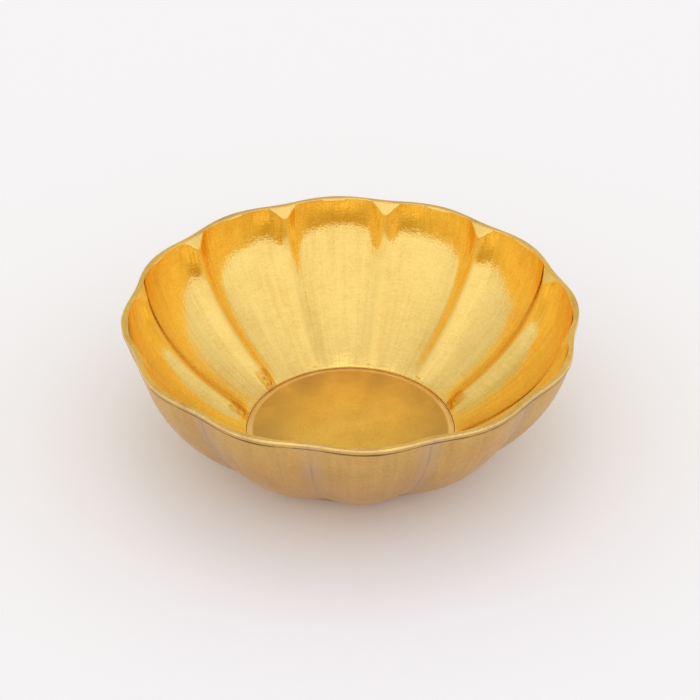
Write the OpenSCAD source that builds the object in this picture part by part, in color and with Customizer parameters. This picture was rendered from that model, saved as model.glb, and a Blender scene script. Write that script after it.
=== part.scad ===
// Lobed brass bowl: a fluted wall, a round floor plate seated in its foot and a rim band on its top edge.
// Millimetres, +Z up, origin at the centre of the resting face, a lobe centred on +X.

/* [Bowl] */
// Width across two opposite lobes of the rim
bowl_d = 152; // [140:1:180]
// Height from the resting face to the top of the rim
bowl_h = 50.5; // [46:0.5:58]
// Number of lobes round the wall
lobes = 12; // [10:2:14]

/* [Wall] */
// Wall thickness at the middle of a lobe
wall_t = 2; // [1.8:0.1:2.4]
// How far the wall bows outward from a straight line between foot and rim
wall_bow = 6.7; // [5:0.1:8]
// How far the wall's shoulder, two thirds of the way up, swells beyond that bow
shoulder = 0.7; // [0:0.1:1.2]
// Depth of the groove between two lobes, outside
groove_depth = 3; // [2:0.1:3.2]
// Height of the ridge between two lobes, inside, near the rim
ridge_top = 2.3; // [2:0.1:3]
// Height of the ridge between two lobes, inside, near the floor
ridge_foot = 1.8; // [1:0.1:2.2]
// Extra height of the narrow crest along the middle of each ridge
crest_h = 1.2; // [0.8:0.1:1.6]
// Half width of that crest
crest_w = 4.4; // [3.6:0.1:5]

/* [Floor] */
// Diameter of the floor plate as seen from inside
floor_d = 72; // [68:1:76]
// Thickness of the floor plate
floor_t = 2.4; // [2.2:0.1:3]
// Width of the low bevel round the edge of the floor plate
floor_bevel_w = 2.3; // [1.5:0.1:3]

/* [Rim] */
// Width of the flat top of the rim band over a lobe
rim_w = 1.9; // [1.6:0.1:2.4]
// Height of the rim band
rim_h = 1.8; // [1.5:0.1:2.2]
// How far the rim band stands proud of the wall outside, over a lobe
rim_proud = 0.65; // [0.4:0.05:0.8]
// How far the rim band draws in between two lobes
rim_wave = 1.9; // [1.4:0.1:2.2]

/* [Hidden] */
// Softness of the turn from lobe to lobe: low is a sharp crease, high is a gentle wave
groove_soft = 0.12;
ridge_soft = 0.18;
rim_soft = 0.8;
// Above 1 the ridge is narrow, with broad flat lobe faces beside it
narrow_foot = 1.2;
narrow_top = 1.9;
// Roundness of the crest's top in millimetres, and of its base as a share of its half width
crest_round = 1;
crest_soft = 0.2;
// Grooves and ridges start this high above the ledge and rise over this share of the bowl's height
blend_start = 0.6;
foot_blend = 0.035;
// Extra bow of the wall's inner face, which makes it steeper under the rim
inner_bow = 0.7;
// The plate's flange under the wall's foot, and the gap round its spigot
flange_t = 0.6;
flange_w = 1;
seat_gap = 0.05;
bevel_drop = 0.25;
// Width of the wall's foot face, the height of its ledge and the ledge's least width
foot_w = 1.2;
ledge_z = 2.2;
ledge_w = 0.4;
// Rounded outer edge of the rim band, and how steeply the ridge ends are dressed back below its top
rim_edge = 0.35;
dress_slope = 0.62;
dress_h = 6;

floor_r = floor_d / 2;
bore_r = floor_r + seat_gap;
rim_r = bowl_d / 2;
rim_z = bowl_h - rim_h;
crest_r = rim_r - rim_proud;

lobe_steps = 16;
cols = lobes * lobe_steps;
// From 0, even, towards 1, where the columns crowd at the ridges
col_crowding = 0.4;
wall_rows = 15;
// Above 1 the rows crowd towards the foot, where the wall leans most
row_crowding = 1.4;
rim_rows = 3;

brass = [0.80, 0.60, 0.25];
brass_bright = [0.88, 0.72, 0.36];
brass_floor = [0.74, 0.54, 0.22];

// Share of the height at which the shoulder swells most
shoulder_at = 2 / 3;

// Side profiles: circular arcs [centre radius, centre height, arc radius] from foot to rim
outer_arc = arc_through([bore_r + foot_w, flange_t], [crest_r, rim_z], wall_bow);
inner_arc = [outer_arc[0], outer_arc[1], outer_arc[2] - wall_t];

function arc_through(p, q, bow) =
    let (
        chord = norm(q - p),
        u = (q - p) / chord,
        n = [u[1], -u[0]],
        rho = chord * chord / (8 * bow) + bow / 2,
        centre = (p + q) / 2 + n * (bow - rho)
    )
    [centre[0], centre[1], rho];

function arc_r(arc, z) = arc[0] + sqrt(arc[2] * arc[2] - (z - arc[1]) * (z - arc[1]));

// Share of the height above the ledge, and the shoulder's swell there: 1 at shoulder_at, 0 at foot and rim
function height_share(z) = (z - ledge_z) / (bowl_h - ledge_z);
function swell(share) = pow(share / shoulder_at, 2) * (1 - share) / (1 - shoulder_at);
function side_r(arc, z) = arc_r(arc, z) + shoulder * swell(height_share(z));

// 1 at the middle of a lobe, 0 between two lobes
function lobe(a, soft) =
    let (c = cos(a * lobes / 2))
    (sqrt(c * c + soft * soft) - soft) / (sqrt(1 + soft * soft) - soft);

// 0 at the foot, 1 above the blend
function rise(z) = 1 - exp(-max(0, z - ledge_z - blend_start) / (foot_blend * bowl_h));
function mix(foot, top, share) = foot + (top - foot) * share;

// Distance along the wall's inner face from the middle of the nearest ridge
function ridge_gap(a, z) =
    let (turn = abs((a * lobes / 360) % 1 - 0.5) / lobes)
    norm([2 * PI * turn * side_r(inner_arc, z), crest_round]) - crest_round;

// Tent of height 1 and half width crest_w, soft at its base
function crest(a, z) =
    let (rest = 1 - ridge_gap(a, z) / crest_w)
    (norm([rest, crest_soft]) + rest) / 2;

function ridge(a, z) =
    let (
        share = height_share(z),
        height = mix(ridge_foot, ridge_top, pow(share, 2)),
        narrow = mix(narrow_foot, narrow_top, share)
    )
    rise(z) * (height * pow(1 - lobe(a, ridge_soft), narrow) + crest_h * crest(a, z));

function rim_outer(a) = rim_r - rim_wave * (1 - lobe(a, rim_soft));
function outer_r(a, z) =
    side_r(outer_arc, z) - groove_depth * rise(z) * (1 - lobe(a, groove_soft));
function dressed_r(a, z) = rim_outer(a) - rim_w - dress_slope * (bowl_h - z);
function fluted_r(a, z) =
    side_r(inner_arc, z) + inner_bow * sin(180 * height_share(z)) - ridge(a, z);
function inner_r(a, z) =
    let (wall = max(fluted_r(a, z), bore_r + ledge_w))
    z > bowl_h - dress_h ? max(wall, dressed_r(a, z)) : wall;

function angle(j) =
    let (even = 360 * j / cols)
    even + col_crowding / lobes * sin(lobes * even) * 180 / PI;
function row_z(z0, z1, t) = z0 + (z1 - z0) * pow(t, row_crowding);
function ring(a, r, z) = [r * cos(a), r * sin(a), z];

// Closed band of quads, each cut in two, over rows that form a loop and columns that form a circle
function band_faces(rows) = [
    for (i = [0 : rows - 1], j = [0 : cols - 1])
        let (
            i2 = (i + 1) % rows,
            j2 = (j + 1) % cols
        )
        each [
            [i * cols + j, i2 * cols + j, i2 * cols + j2],
            [i * cols + j, i2 * cols + j2, i * cols + j2]
        ]
];

// The lobed side: round at its foot, fluted above, flat on top to carry the rim band
module fluted_wall() {
    last = wall_rows - 1;
    points = [
        for (i = [0 : last], j = [0 : cols - 1])
            let (z = row_z(flange_t, rim_z, i / last))
            ring(angle(j), outer_r(angle(j), z), z),
        for (i = [0 : last], j = [0 : cols - 1])
            let (z = row_z(ledge_z, rim_z, 1 - i / last))
            ring(angle(j), inner_r(angle(j), z), z),
        for (z = [ledge_z, flange_t], j = [0 : cols - 1])
            ring(angle(j), bore_r, z)
    ];
    color(brass)
        polyhedron(points, band_faces(2 * wall_rows + 2), convexity = 6);
}

// Round plate: its spigot fills the wall's bore and its flange lies under the wall's foot
module floor_disc() {
    color(brass_floor)
        rotate_extrude($fn = 180)
            polygon([
                [0, 0],
                [floor_r + flange_w, 0],
                [floor_r + flange_w, flange_t],
                [floor_r, flange_t],
                [floor_r, floor_t - bevel_drop],
                [floor_r - floor_bevel_w, floor_t],
                [0, floor_t]
            ]);
}

// Cap on the wall's top edge: a gentle wave outside, the wall's own outline inside
module rim_band() {
    inner_zs = [for (i = [0 : rim_rows]) bowl_h - rim_h * i / rim_rows];
    points = [
        for (j = [0 : cols - 1])
            ring(angle(j), rim_outer(angle(j)), rim_z),
        for (j = [0 : cols - 1])
            ring(angle(j), rim_outer(angle(j)), bowl_h - rim_edge),
        for (j = [0 : cols - 1])
            ring(angle(j), rim_outer(angle(j)) - rim_edge, bowl_h),
        for (z = inner_zs, j = [0 : cols - 1])
            ring(angle(j), inner_r(angle(j), z), z)
    ];
    color(brass_bright)
        polyhedron(points, band_faces(len(inner_zs) + 3), convexity = 6);
}

fluted_wall();
floor_disc();
rim_band();
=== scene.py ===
"""A shallow lobed brass bowl on a pale floor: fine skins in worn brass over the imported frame."""
import math

import bmesh
import bpy
import numpy as np
from mathutils import Matrix, Vector, noise


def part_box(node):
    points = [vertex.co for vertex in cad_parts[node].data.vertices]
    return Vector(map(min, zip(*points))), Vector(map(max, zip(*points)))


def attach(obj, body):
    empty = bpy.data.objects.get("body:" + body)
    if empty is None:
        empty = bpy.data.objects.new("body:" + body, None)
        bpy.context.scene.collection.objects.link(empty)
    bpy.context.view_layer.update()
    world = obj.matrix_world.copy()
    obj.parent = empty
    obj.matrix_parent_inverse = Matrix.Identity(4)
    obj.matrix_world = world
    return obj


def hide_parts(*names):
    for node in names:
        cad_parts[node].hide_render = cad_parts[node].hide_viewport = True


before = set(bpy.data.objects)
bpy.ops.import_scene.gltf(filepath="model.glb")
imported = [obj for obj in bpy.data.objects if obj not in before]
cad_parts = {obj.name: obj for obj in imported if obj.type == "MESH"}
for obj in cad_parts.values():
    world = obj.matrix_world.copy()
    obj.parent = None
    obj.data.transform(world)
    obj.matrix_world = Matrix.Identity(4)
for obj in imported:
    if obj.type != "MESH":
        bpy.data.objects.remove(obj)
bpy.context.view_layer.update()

MM = 0.001

# ---------------------------------------------------------------- sizes
# Taken from the frame
rim_low, rim_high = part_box("rim_band")
floor_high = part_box("floor_disc")[1]
RIM_R, BOWL_H, RIM_Z = rim_high[0], rim_high[2], rim_low[2]
FLANGE_R, FLOOR_T = floor_high[0], floor_high[2]

# Wall, in the same terms as the solid model
LOBES = 12
WALL_T = 2.0 * MM
WALL_BOW = 6.7 * MM
INNER_BOW = 0.7 * MM
SHOULDER = 0.7 * MM
SHOULDER_AT = 2 / 3
GROOVE_DEPTH = 3.0 * MM
GROOVE_SOFT = 0.12
RIDGE_TOP = 2.3 * MM
RIDGE_FOOT = 1.8 * MM
RIDGE_SOFT = 0.18
NARROW_FOOT = 1.2
NARROW_TOP = 1.9
CREST_H = 1.2 * MM
CREST_W = 4.4 * MM
CREST_ROUND = 1.0 * MM
CREST_SOFT = 0.2
BLEND_START = 0.6 * MM
FOOT_BLEND = 0.035
FOOT_W = 1.2 * MM
LEDGE_Z = 2.2 * MM
LEDGE_W = 0.4 * MM

# Rim band, in the same terms
RIM_W = 1.9 * MM
RIM_PROUD = 0.65 * MM
RIM_WAVE = 1.9 * MM
RIM_SOFT = 0.8
DRESS_SLOPE = 0.62
DRESS_H = 6 * MM

# Floor plate, in the same terms
FLANGE_T = 0.6 * MM
FLANGE_W = 1 * MM
SEAT_GAP = 0.05 * MM
BEVEL_W = 2.3 * MM
BEVEL_DROP = 0.25 * MM
FLOOR_R = FLANGE_R - FLANGE_W
BORE_R = FLOOR_R + SEAT_GAP

# Rounded edges, which only the skins have: the rim's outer, inner and lower edge, and the plate's edges
LIP_OUTER = 0.5 * MM
LIP_INNER = 0.3 * MM
UNDERCUT = 0.3 * MM
PLATE_EDGE = 0.15 * MM
# The underside of the rim's skin has a ring of points this far in from its outer face
LIP_ROOT = 1.1 * MM

# Rough ridge ends, dented: their top, their fade up and down the wall, and the dents' depth and number
PITTED_TOP = 8.5 * MM
PITTED_FADE = 1.5 * MM
PIT_DEPTH = 0.45 * MM
PITS_PER_M = 900
# Share of the full depth: PIT_FULL, less PIT_FALL times a cosine that is 0 on the ridge, kept to 0..1
PIT_FULL = 1.25
PIT_FALL = 3.2
# The ridge ends on this side of the floor, beyond this far from the middle, are polished clean
CLEAN_SIDE = (0.34, 0.94)
CLEAN_FROM = 29 * MM
CLEAN_FADE = 5 * MM

# Mesh steps
COLS = LOBES * 48
COL_CROWDING = 0.5
OUTER_ROWS = 70
INNER_ROWS = 120
ROW_CROWDING = 1.3
LIP_ROWS = 12
CORNER_STEPS = 7
WELD = 1e-6
SHARP_ANGLE = math.radians(55)


# ---------------------------------------------------------------- shape
def arc_through(p, q, bow):
    """Centre radius, centre height and arc radius of the arc from p to q that bows outward."""
    p, q = np.array(p), np.array(q)
    chord = np.linalg.norm(q - p)
    u = (q - p) / chord
    n = np.array([u[1], -u[0]])
    rho = chord * chord / (8 * bow) + bow / 2
    centre = (p + q) / 2 + n * (bow - rho)
    return centre[0], centre[1], rho


OUTER_ARC = arc_through((BORE_R + FOOT_W, FLANGE_T), (RIM_R - RIM_PROUD, RIM_Z), WALL_BOW)
INNER_ARC = (OUTER_ARC[0], OUTER_ARC[1], OUTER_ARC[2] - WALL_T)


def height_share(z):
    """Share of the height above the ledge."""
    return (z - LEDGE_Z) / (BOWL_H - LEDGE_Z)


def swell(share):
    """The shoulder's swell: 1 at SHOULDER_AT, 0 at foot and rim."""
    return (share / SHOULDER_AT) ** 2 * (1 - share) / (1 - SHOULDER_AT)


def side_r(arc, z):
    """Radius of a side profile: its arc, with the shoulder added."""
    return arc[0] + math.sqrt(arc[2] ** 2 - (z - arc[1]) ** 2) + SHOULDER * swell(height_share(z))


def lobe(a, soft):
    """1 at the middle of a lobe, 0 between two lobes."""
    c = np.cos(a * LOBES / 2)
    return (np.sqrt(c * c + soft * soft) - soft) / (math.sqrt(1 + soft * soft) - soft)


def rise(z):
    """0 at the foot, which is round, and 1 above the blend, where the wall is fluted."""
    return 1 - math.exp(-max(0, z - LEDGE_Z - BLEND_START) / (FOOT_BLEND * BOWL_H))


def crest(a, z):
    """A tent of height 1 along the middle of each ridge, CREST_W to each side, soft at its base."""
    turn = np.abs((a * LOBES / math.tau) % 1 - 0.5) / LOBES
    gap = np.hypot(math.tau * turn * side_r(INNER_ARC, z), CREST_ROUND) - CREST_ROUND
    rest = 1 - gap / CREST_W
    return (np.hypot(rest, CREST_SOFT) + rest) / 2


def ridge(a, z):
    """Height of the ridges over the wall's inner face."""
    share = height_share(z)
    height = RIDGE_FOOT + (RIDGE_TOP - RIDGE_FOOT) * share ** 2
    narrow = NARROW_FOOT + (NARROW_TOP - NARROW_FOOT) * share
    return rise(z) * (height * (1 - lobe(a, RIDGE_SOFT)) ** narrow + CREST_H * crest(a, z))


def rim_outer(a):
    """Outer radius of the rim band."""
    return RIM_R - RIM_WAVE * (1 - lobe(a, RIM_SOFT))


def outer_r(a, z):
    """Outer radius of the wall."""
    return side_r(OUTER_ARC, z) - GROOVE_DEPTH * rise(z) * (1 - lobe(a, GROOVE_SOFT))


def inner_r(a, z):
    """Inner radius of wall and rim: ridges on a bowed face, dressed back to a slope near the top."""
    face = side_r(INNER_ARC, z) + INNER_BOW * math.sin(math.pi * height_share(z))
    wall = np.maximum(face - ridge(a, z), BORE_R + LEDGE_W)
    if z <= BOWL_H - DRESS_H:
        return wall
    return np.maximum(wall, rim_outer(a) - RIM_W - DRESS_SLOPE * (BOWL_H - z))


def ring(a, r, z):
    """Points at the angles a. The radius r and the height z are numbers or arrays."""
    r, z = np.broadcast_to(r, a.shape), np.broadcast_to(z, a.shape)
    return np.stack([r * np.cos(a), r * np.sin(a), z], -1)


def crowded_angles():
    """Column angles that crowd at the ridges."""
    even = np.arange(COLS) * math.tau / COLS
    return even + COL_CROWDING / LOBES * np.sin(LOBES * even)


ANGLES = crowded_angles()


def crowded_rows(z0, z1, count):
    """Heights from z0 to z1 that crowd towards z0."""
    return z0 + (z1 - z0) * np.linspace(0, 1, count) ** ROW_CROWDING


# ---------------------------------------------------------------- meshes
def placed(name, data):
    """A new object in the scene."""
    thing = bpy.data.objects.new(name, data)
    bpy.context.scene.collection.objects.link(thing)
    return thing


def skin(name, rings, slots, closed=True):
    """A smooth mesh over rings of equal length. slots gives the material of the band after each ring."""
    rows, cols = len(rings), len(rings[0])
    faces, marks = [], []
    for i in range(rows if closed else rows - 1):
        i2 = (i + 1) % rows
        for j in range(cols):
            j2 = (j + 1) % cols
            faces.append((i * cols + j, i2 * cols + j, i2 * cols + j2, i * cols + j2))
            marks.append(slots[i])
    mesh = bpy.data.meshes.new(name)
    mesh.from_pydata(np.concatenate(rings).tolist(), [], faces)
    mesh.polygons.foreach_set("material_index", marks)
    mesh.polygons.foreach_set("use_smooth", [True] * len(faces))
    mesh.update()
    bm = bmesh.new()
    bm.from_mesh(mesh)
    bmesh.ops.remove_doubles(bm, verts=bm.verts, dist=WELD)
    bmesh.ops.recalc_face_normals(bm, faces=bm.faces)
    bm.to_mesh(mesh)
    bm.free()
    mesh.set_sharp_from_angle(angle=SHARP_ANGLE)
    return placed(name, mesh)


def pitted(a, r, z):
    """r with the dents of the rough ridge ends, which fade up and down the wall and at the clean side."""
    near = np.clip(PIT_FULL - np.abs(np.cos(a * LOBES / 2)) * PIT_FALL, 0, 1)
    along = r * (np.cos(a) * CLEAN_SIDE[0] + np.sin(a) * CLEAN_SIDE[1])
    near = near * np.clip((CLEAN_FROM - along) / CLEAN_FADE, 0, 1)
    fade = np.clip((PITTED_TOP - z) / PITTED_FADE, 0, 1) * np.clip((z - LEDGE_Z) / PITTED_FADE, 0, 1)
    if not fade:
        return r
    spots = (ring(a, r, z) * PITS_PER_M).tolist()
    dents = [noise.noise(Vector(spot)) if share else 0 for spot, share in zip(spots, near)]
    return r + near * fade * PIT_DEPTH * np.array(dents)


def wall_rings():
    """Up the outside, down the inside and down the bore that holds the plate."""
    outer_z = crowded_rows(FLANGE_T, RIM_Z, OUTER_ROWS)
    inner_z = crowded_rows(LEDGE_Z, RIM_Z, INNER_ROWS)[::-1]
    rings = [ring(ANGLES, outer_r(ANGLES, z), z) for z in outer_z]
    rings += [ring(ANGLES, pitted(ANGLES, inner_r(ANGLES, z), z), z) for z in inner_z]
    rings += [ring(ANGLES, BORE_R, z) for z in (LEDGE_Z, FLANGE_T)]
    slots = [0] * OUTER_ROWS + [1] * (INNER_ROWS + 2)
    return rings, slots


def corner(r, z, turn_in, size):
    """A quarter round below and beside the corner at r, z: up its outer side, or down its inner."""
    turns = np.linspace(0, math.pi / 2, CORNER_STEPS)
    if turn_in:
        turns = turns[::-1]
    sign = 1 if turn_in else -1
    return [(r + sign * size * (1 - np.cos(t)), z - size * (1 - np.sin(t))) for t in turns]


def rim_rings():
    """The band's section: rounded lower edge, outer face, rounded lip, dressed inner face."""
    outer = rim_outer(ANGLES)
    low = BOWL_H - LIP_INNER
    outside = [
        (outer - LIP_ROOT, RIM_Z),
        (outer - UNDERCUT, RIM_Z),
        (outer - 0.25 * UNDERCUT, RIM_Z + 0.25 * UNDERCUT),
        (outer, RIM_Z + UNDERCUT),
    ]
    lip = corner(outer, BOWL_H, False, LIP_OUTER)
    lip += corner(inner_r(ANGLES, low), BOWL_H, True, LIP_INNER)
    inside = [(inner_r(ANGLES, z), z) for z in np.linspace(low, RIM_Z, LIP_ROWS)[1:]]
    slots = [2] * len(outside) + [0] * (len(lip) - 1) + [1] * (len(inside) + 1)
    return [ring(ANGLES, r, z) for r, z in outside + lip + inside], slots


def floor_rings():
    """The plate's section, from the middle of its top to the middle of its underside.

    The bevel starts with a soft bend a few edge widths wide, and ends in a small rounded edge.
    """
    bevel_r = FLOOR_R - BEVEL_W
    section = [
        (0, FLOOR_T),
        (bevel_r - 4 * PLATE_EDGE, FLOOR_T),
        (bevel_r, FLOOR_T - 0.3 * PLATE_EDGE),
        (bevel_r + 4 * PLATE_EDGE, FLOOR_T - PLATE_EDGE),
        (FLOOR_R - 1.5 * PLATE_EDGE, FLOOR_T - BEVEL_DROP + 0.5 * PLATE_EDGE),
        (FLOOR_R, FLOOR_T - BEVEL_DROP - PLATE_EDGE),
        (FLOOR_R, FLANGE_T),
        (FLANGE_R, FLANGE_T),
        (FLANGE_R, PLATE_EDGE),
        (FLANGE_R - PLATE_EDGE, 0),
        (0, 0),
    ]
    return [ring(ANGLES, r, z) for r, z in section], [0] * len(section)


# ---------------------------------------------------------------- node trees
class Nodes:
    """Short calls to build a node tree. A source is another node's output, a number or a colour."""

    def __init__(self, tree):
        self.tree = tree

    def add(self, kind, **settings):
        node = self.tree.nodes.new(kind)
        for key, value in settings.items():
            setattr(node, key, value)
        return node

    def link(self, source, socket):
        self.tree.links.new(source, socket)

    def feed(self, sockets, sources):
        """Link each source to its socket if it is an output, and write it there if it is a plain value."""
        for socket, source in zip(sockets, sources):
            if hasattr(source, "is_output"):
                self.link(source, socket)
            else:
                socket.default_value = source

    def math(self, operation, *sources):
        node = self.add("ShaderNodeMath", operation=operation)
        self.feed(node.inputs, sources)
        return node.outputs[0]

    def ramp(self, source, low, high, out_low=0.0, out_high=1.0):
        """source mapped smoothly from low..high to out_low..out_high."""
        node = self.add("ShaderNodeMapRange", interpolation_type="SMOOTHSTEP")
        self.feed(node.inputs, (source, low, high, out_low, out_high))
        return node.outputs[0]

    def mix(self, share, a, b):
        """Colour a, turning to colour b as share goes from 0 to 1."""
        node = self.add("ShaderNodeMix", data_type="RGBA")
        self.feed((node.inputs[0], node.inputs[6], node.inputs[7]), (share, a, b))
        return node.outputs[2]

    def noise(self, place, scale, detail, rough):
        node = self.add("ShaderNodeTexNoise")
        names = ("Vector", "Scale", "Detail", "Roughness")
        self.feed([node.inputs[name] for name in names], (place, scale, detail, rough))
        return node.outputs["Fac"]

    def split(self, place):
        """The x, y and z of a place."""
        node = self.add("ShaderNodeSeparateXYZ")
        self.link(place, node.inputs[0])
        return node.outputs

    def join(self, *sources):
        """A place from its x, y and z."""
        node = self.add("ShaderNodeCombineXYZ")
        self.feed(node.inputs, sources)
        return node.outputs[0]

    def uneven(self, start, *terms):
        """start plus each pattern's swing about its middle, times its weight."""
        total = start
        for pattern, weight in terms:
            swing = self.math("MULTIPLY", self.math("SUBTRACT", pattern, 0.5), weight)
            total = self.math("ADD", total, swing)
        return total


# ---------------------------------------------------------------- brass
# Noise patterns: scale, detail and roughness
MARKS = (9.0, 4.0, 0.65)
STREAKS = (34.0, 3.0, 0.6)
SMEARS = (150.0, 2.0, 0.5)
BLOTCH = (38.0, 4.0, 0.6)
PATCH = (90.0, 5.0, 0.6)
FINE = (1150.0, 2.0, 0.6)
WAVE = (45.0, 2.0, 0.5)
PITS = (PITS_PER_M, 2.0, 0.5)
# How fast the brush marks change along themselves, round the bowl, and across themselves
MARKS_ALONG = 16.0
MARKS_ACROSS = 170.0
# The streaks change with the direction from the bowl's axis, and this fast with the height
STREAKS_DOWN = 1.2
# Least radius that the direction from the axis is worked out with
AXIS_R = 4 * MM

# Share of dull brass where every pattern is at its middle, and how much each pattern changes it
DULL = 0.3
MARKS_DULL = 0.7
FINE_DULL = 1.1
STREAKS_DULL = 1.0
BLOTCH_DULL = 1.5
PATCH_DULL = 0.7
# How much patches and grain change the roughness
PATCH_ROUGH = 0.10
FINE_ROUGH = 0.08
# Dark specks: where in the grain they begin and are full, and their strength
SPECKS = (0.76, 0.82)
SPECKS_DARK = 0.5
# Where in the patches a tint is weakest and full, and the share that it loses where it is weakest
TINT_PATCHES = (0.34, 0.60)
TINT_LOSS = 0.65
# Rough ridge ends: how far between two lobes they begin and are full, how they fade up the wall, and
# where in the patches the raw metal and where in the pits the specks begin and are full
RAW_FROM = (0.50, 0.80)
RAW_FADE = 3 * MM
RAW_PATCHES = (0.22, 0.42)
PIT_SPECKS = (0.58, 0.68)
# Dark seam: how far inside the plate's edge it begins and is full, and its share at the bowl's middle,
# which grows to 1 this far towards the clean side
SEAM_FROM = 0.3 * MM
SEAM_FULL = 0.08 * MM
SEAM_LEAST = 0.2
SEAM_GROWS = 25 * MM

# Depths of the bump patterns, in millimetres
MARKS_DEEP = 0.006
FINE_DEEP = 0.042
STREAKS_DEEP = 0.14
PATCH_DEEP = 0.05
WAVE_DEEP = 0.30
# Share of the bump left on the crest of a ridge, where it would otherwise hide its own far side, and
# how far between two lobes the bump begins to weaken and is down to that share
CREST_BUMP = 0.25
CREST_FROM = (0.6, 0.95)

# Dark brown: tarnish in the grain specks, the pits and the floor seam, and painted shade in the outer
# grooves and under the rim band
TARNISH_AND_PAINTED_SHADE = [0.16, 0.08, 0.03, 1]
SCRAPED = [0.92, 0.74, 0.44, 1]
SHADED = [0.59, 0.385, 0.125, 1]
WORN = [0.94, 0.67, 0.19, 1]
RAW = [0.78, 0.39, 0.03, 1]
# Greyish painted shade for the outer grooves
PAINTED_GROOVE_SHADE = [0.56, 0.43, 0.36, 1]


def brass_patterns(n, across, spot, x, y, z, radius):
    """Marks, streaks, blotch, patch, fine and wave: noises from 0 to 1, about 0.5 on average."""
    wide = [n.math("MULTIPLY", part, MARKS_ALONG) for part in (x, y)]
    spaced = n.math("MULTIPLY", z if across == "z" else radius, MARKS_ACROSS)
    marks = n.noise(n.join(*wide, spaced), *MARKS)
    if across == "z":
        far = n.math("MAXIMUM", radius, AXIS_R)
        turned = [n.math("DIVIDE", part, far) for part in (x, y)]
        streaks = n.noise(n.join(*turned, n.math("MULTIPLY", z, STREAKS_DOWN)), *STREAKS)
    else:
        streaks = n.noise(spot, *SMEARS)
    return marks, streaks, *(n.noise(spot, *pattern) for pattern in (BLOTCH, PATCH, FINE, WAVE))


def tint_places(n, spot, x, y, z, radius, between, patch):
    """What a tint can follow: lengths in metres, or shares from 0 to 1."""
    sides = [n.math("MULTIPLY", part, share) for part, share in zip((x, y), CLEAN_SIDE)]
    along = n.math("ADD", *sides)
    foot = n.math("MULTIPLY", n.ramp(between, *RAW_FROM), n.ramp(z, PITTED_TOP, PITTED_TOP - RAW_FADE))
    foot = n.math("MULTIPLY", foot, n.ramp(along, CLEAN_FROM, CLEAN_FROM - CLEAN_FADE))
    edge = n.ramp(radius, FLOOR_R - SEAM_FROM, FLOOR_R - SEAM_FULL)
    return {
        "z": z,
        "r": radius,
        "between": between,
        "joint": n.math("ABSOLUTE", n.math("SUBTRACT", z, RIM_Z)),
        "ridge_foot": n.math("MULTIPLY", foot, n.ramp(patch, *RAW_PATCHES)),
        "ridge_pits": n.math("MULTIPLY", foot, n.ramp(n.noise(spot, *PITS), *PIT_SPECKS)),
        "seam": n.math("MULTIPLY", edge, n.ramp(along, 0.0, SEAM_GROWS, SEAM_LEAST, 1.0)),
    }


def brass(name, polished, dull, rough, across, grain=1.0, cloud=1.0, tints=()):
    """Brass with brush marks round the bowl, streaks down it, fine grain, uneven polish, tarnish and,
    through its tints, painted shade.

    across says which way the brush marks are spaced: "z" up the wall or "r" out from the middle.
    grain scales the fine patterns and cloud the broad ones.
    tints are (place, from, to, colour, roughness, strength). A tint fades in as its place goes from the
    first number to the second.
    """
    material = bpy.data.materials.new(name)
    material.use_nodes = True
    n = Nodes(material.node_tree)
    shader = n.tree.nodes["Principled BSDF"]
    shader.inputs["Metallic"].default_value = 1.0

    spot = n.add("ShaderNodeTexCoord").outputs["Object"]
    x, y, z = n.split(spot)
    radius = n.math("SQRT", n.math("ADD", n.math("MULTIPLY", x, x), n.math("MULTIPLY", y, y)))
    half_turns = n.math("MULTIPLY", n.math("ARCTAN2", y, x), LOBES / 2)
    between = n.math("SUBTRACT", 1.0, n.math("ABSOLUTE", n.math("COSINE", half_turns)))
    marks, streaks, blotch, patch, fine, wave = brass_patterns(n, across, spot, x, y, z, radius)
    places = tint_places(n, spot, x, y, z, radius, between, patch)

    share = n.uneven(
        DULL,
        (marks, MARKS_DULL * grain),
        (fine, FINE_DULL * grain),
        (streaks, STREAKS_DULL * cloud),
        (blotch, BLOTCH_DULL * cloud),
        (patch, PATCH_DULL),
    )
    clamp = n.add("ShaderNodeClamp")
    n.link(share, clamp.inputs[0])
    colour = n.mix(clamp.outputs[0], polished, dull)
    colour = n.mix(n.ramp(fine, *SPECKS, 0.0, SPECKS_DARK), colour, TARNISH_AND_PAINTED_SHADE)
    gloss = n.uneven(rough, (patch, PATCH_ROUGH), (fine, FINE_ROUGH * grain))
    for place, start, end, tint, tint_rough, strength in tints:
        weakest = (1 - TINT_LOSS * cloud) * strength
        here = n.ramp(places[place], start, end)
        amount = n.math("MULTIPLY", here, n.ramp(patch, *TINT_PATCHES, weakest, strength))
        colour = n.mix(amount, colour, tint)
        kept = n.math("MULTIPLY", gloss, n.math("SUBTRACT", 1.0, amount))
        gloss = n.math("ADD", kept, n.math("MULTIPLY", amount, tint_rough))
    n.link(colour, shader.inputs["Base Color"])
    n.link(gloss, shader.inputs["Roughness"])

    height = n.uneven(
        0.0,
        (marks, MARKS_DEEP * grain),
        (fine, FINE_DEEP * grain),
        (streaks, STREAKS_DEEP),
        (patch, PATCH_DEEP),
        (wave, WAVE_DEEP * cloud),
    )
    bump = n.add("ShaderNodeBump")
    bump.inputs["Distance"].default_value = MM
    n.link(height, bump.inputs["Height"])
    n.link(n.ramp(between, *CREST_FROM, 1.0, CREST_BUMP), bump.inputs["Strength"])
    n.link(bump.outputs[0], shader.inputs["Normal"])
    return material


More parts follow.
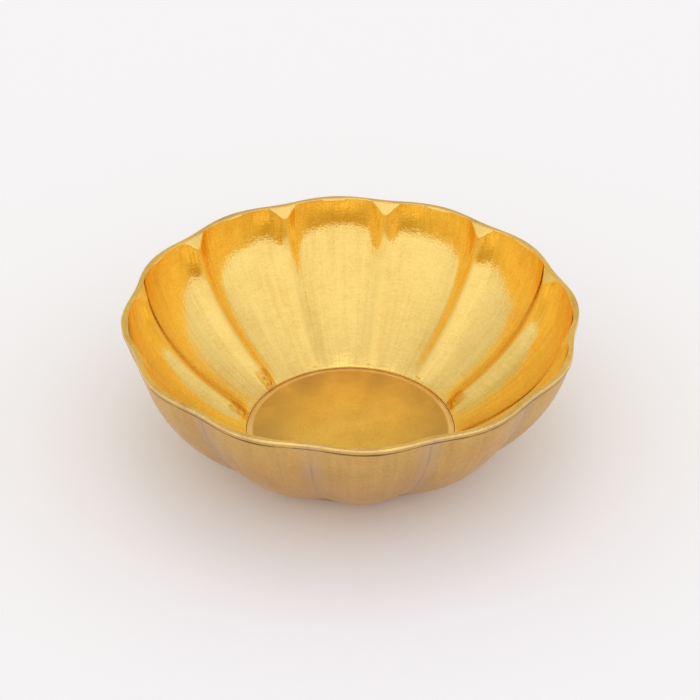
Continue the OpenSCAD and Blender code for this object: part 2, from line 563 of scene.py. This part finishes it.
INSIDE = brass(
    "brass_inside", [0.965, 0.695, 0.20, 1], [0.78, 0.50, 0.12, 1], 0.07, "z",
    tints=[
        ("between", 0.80, 0.97, WORN, 0.38, 0.9),
        ("ridge_foot", 0.1, 0.6, RAW, 0.25, 1.0),
        ("ridge_pits", 0.1, 0.5, TARNISH_AND_PAINTED_SHADE, 0.5, 0.4),
        ("z", LEDGE_Z + 0.08 * MM, LEDGE_Z - 0.02 * MM, SCRAPED, 0.45, 0.8),
    ],
)
# Duller brass outside: a rougher brushed finish, with a darker base colour that is also painted shade for
# the darker surroundings the outer wall reflects
OUTSIDE = brass(
    "brass_outside", [0.70, 0.43, 0.138, 1], [0.54, 0.315, 0.095, 1], 0.36, "z",
    tints=[
        # Painted shade along the outer grooves: a greyish tone in each groove and a thin dark line at its
        # bottom
        ("between", 0.55, 0.95, PAINTED_GROOVE_SHADE, 0.42, 0.38),
        ("between", 0.95, 0.995, TARNISH_AND_PAINTED_SHADE, 0.5, 0.18),
        # Painted shade under the proud rim band, darkened further by tarnish in the joint
        ("joint", 0.65 * MM, 0.3 * MM, TARNISH_AND_PAINTED_SHADE, 0.6, 1.0),
    ],
)
FLOOR = brass(
    "brass_floor", [0.93, 0.61, 0.15, 1], [0.70, 0.42, 0.09, 1], 0.36, "r", grain=0.8, cloud=0.5,
    tints=[
        ("r", 0.35 * FLOOR_R, 0.90 * FLOOR_R, SHADED, 0.36, 1.0),
        ("r", FLOOR_R - BEVEL_W - 0.4 * MM, FLOOR_R - BEVEL_W + 0.6 * MM, SCRAPED, 0.42, 0.8),
        ("seam", 0.1, 0.6, TARNISH_AND_PAINTED_SHADE, 0.6, 0.8),
    ],
)
LIP = brass("brass_lip", [0.93, 0.64, 0.25, 1], [0.60, 0.385, 0.16, 1], 0.16, "r")


# ---------------------------------------------------------------- pieces
wall = skin("wall_skin", *wall_rings())
wall.data.materials.append(OUTSIDE)
wall.data.materials.append(INSIDE)
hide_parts("fluted_wall")
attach(wall, "root")

rim = skin("rim_lip", *rim_rings())
rim.data.materials.append(LIP)
rim.data.materials.append(INSIDE)
rim.data.materials.append(OUTSIDE)
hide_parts("rim_band")
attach(rim, "root")

plate = skin("floor_plate", *floor_rings(), closed=False)
plate.data.materials.append(FLOOR)
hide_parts("floor_disc")
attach(plate, "root")


# ---------------------------------------------------------------- stage, light and camera
STAGE_HALF = 3.0
PAPER = [0.98, 0.985, 1.0, 1]
PAPER_ROUGH = 0.9

# Brightness by direction: FRONT_LIGHT on the -Y side, BACK_LIGHT on the +Y side, and a smooth change
# between, while the direction's y goes from -SIDE_Y to SIDE_Y
FRONT_LIGHT, BACK_LIGHT = 1.32, 0.93
SIDE_Y = 0.8
# A brighter patch overhead, tipped towards +Y: its y and z, where it begins and is full, and its strength
OVERHEAD = (0.24, 0.97)
OVERHEAD_FROM = (0.93, 0.99)
OVERHEAD_LIGHT = 0.7
# The light is cool, and turns warm as the direction's y goes from the first number to the second
COOL = [0.81, 0.80, 0.84, 1]
WARM = [0.80, 0.72, 0.42, 1]
WARM_FROM = (0.35, 0.75)

# The camera stands in front of the bowl's -Y side, a few degrees round from a lobe's middle
VIEW_TURN = math.radians(-95.0)
VIEW_RISE = math.radians(34.8)
VIEW_FAR = 0.6655
VIEW_ROLL = 0.0054
AIM_UP = 34.96 * MM
AIM_SIDE = -0.33 * MM
LENS = 101.9
SENSOR = 36


def stage_floor():
    """A wide sheet of pale paper under the bowl."""
    bm = bmesh.new()
    bmesh.ops.create_grid(bm, x_segments=1, y_segments=1, size=STAGE_HALF)
    mesh = bpy.data.meshes.new("stage_floor")
    bm.to_mesh(mesh)
    bm.free()
    paper = bpy.data.materials.new("pale_floor")
    paper.use_nodes = True
    shader = paper.node_tree.nodes["Principled BSDF"]
    shader.inputs["Base Color"].default_value = PAPER
    shader.inputs["Roughness"].default_value = PAPER_ROUGH
    mesh.materials.append(paper)
    placed("stage_floor", mesh)


def camera():
    """A long lens that looks down into the bowl, aimed at a point above the middle of its foot."""
    toward = Vector((math.cos(VIEW_TURN), math.sin(VIEW_TURN), 0))
    side = Vector((-toward.y, toward.x, 0))
    aim = side * AIM_SIDE + Vector((0, 0, AIM_UP))
    eye = aim + (toward * math.cos(VIEW_RISE) + Vector((0, 0, math.sin(VIEW_RISE)))) * VIEW_FAR
    data = bpy.data.cameras.new("camera")
    data.lens = LENS
    data.sensor_width = SENSOR
    cam = placed("camera", data)
    turn = (aim - eye).to_track_quat("-Z", "Y").to_matrix().to_4x4()
    cam.matrix_world = Matrix.Translation(eye) @ turn @ Matrix.Rotation(VIEW_ROLL, 4, "Z")
    bpy.context.scene.camera = cam


def surround():
    """Soft studio light all round: brighter in front and overhead, dimmer and warmer behind."""
    world = bpy.data.worlds.new("studio")
    bpy.context.scene.world = world
    world.use_nodes = True
    n = Nodes(world.node_tree)
    n.tree.nodes.clear()
    _, y, z = n.split(n.add("ShaderNodeTexCoord").outputs["Generated"])
    across = n.ramp(y, -SIDE_Y, SIDE_Y, FRONT_LIGHT, BACK_LIGHT)
    lean = n.math("ADD", n.math("MULTIPLY", y, OVERHEAD[0]), n.math("MULTIPLY", z, OVERHEAD[1]))
    above = n.ramp(lean, *OVERHEAD_FROM, 0.0, OVERHEAD_LIGHT)
    light = n.add("ShaderNodeBackground")
    n.link(n.mix(n.ramp(y, *WARM_FROM), COOL, WARM), light.inputs["Color"])
    n.link(n.math("ADD", across, above), light.inputs["Strength"])
    n.link(light.outputs[0], n.add("ShaderNodeOutputWorld").inputs[0])


stage_floor()
camera()
surround()
bpy.context.scene.view_settings.view_transform = "Standard"
